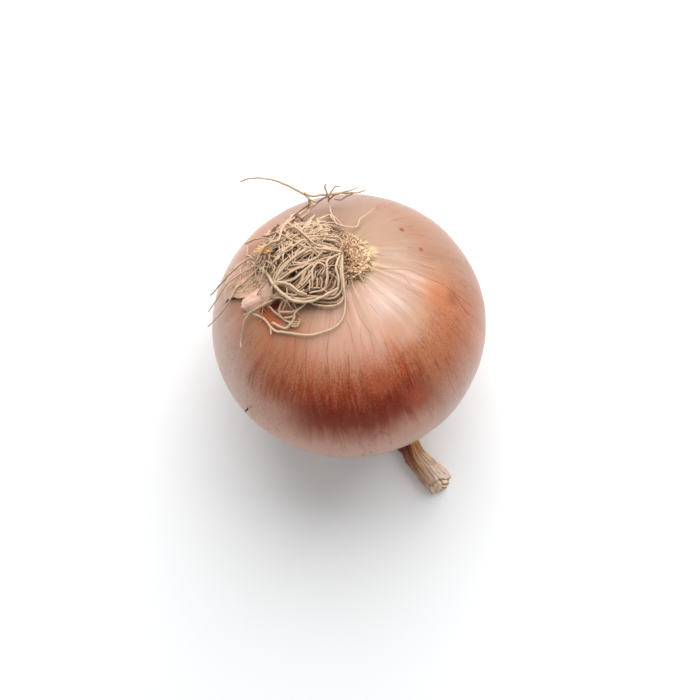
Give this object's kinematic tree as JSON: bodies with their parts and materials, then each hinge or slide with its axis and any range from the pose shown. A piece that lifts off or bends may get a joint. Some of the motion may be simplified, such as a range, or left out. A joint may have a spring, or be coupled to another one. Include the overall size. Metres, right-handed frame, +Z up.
{
  "type": "onion",
  "caption": "Whole brown onion lying on a small flat spot, root end up with a tuft of dry roots, dried neck bent flat under it; free-standing produce.",
  "frame": {"origin": "middle of the flat spot that the bulb rests on", "axes": "+Z up from the surface it lies on; the neck lies towards -Y and +X; the root end faces up and leans towards +Y"},
  "size_m": [0.0755, 0.0882, 0.0694],
  "materials": {
    "bulb_skin": "smooth dry outer skin with a satin shine, peach near the roots to red-brown round the middle, fine veins from end to end",
    "torn_skin": "thin torn papery skin, tan, matt to satin",
    "amber_skin": "thin translucent amber skin flake",
    "dark_skin": "dark dried chip of skin",
    "root_plate": "rough corky plate with broken root stubs",
    "dry_root": "dry straw-coloured root fibre, matt",
    "neck_skin": "creased dried neck, dark red-brown at the bulb to papery tan at the cut end",
    "neck_leaf": "dry rolled leaf, pale tan"
  },
  "bodies": {
    "root": {"bulb": "bulb_skin", "root_plate": "root_plate", "root_tuft": "dry_root", "long_root_01": "dry_root", "long_root_02": "dry_root", "long_root_03": "dry_root", "long_root_04": "dry_root", "long_root_05": "dry_root", "long_root_06": "dry_root", "long_root_07": "dry_root", "long_root_08": "dry_root", "long_root_09": "dry_root", "long_root_10": "dry_root", "long_root_11": "dry_root", "long_root_12": "dry_root", "neck": "neck_skin", "neck_leaf_outer": "neck_leaf", "neck_leaf_inner": "neck_leaf", "torn_skin_left": "torn_skin", "torn_skin_flap": "torn_skin", "skin_flake_amber": "amber_skin", "skin_flake_tan": "torn_skin", "skin_flake_upper": "torn_skin", "skin_chip_low": "dark_skin"}
  },
  "joints": []
}
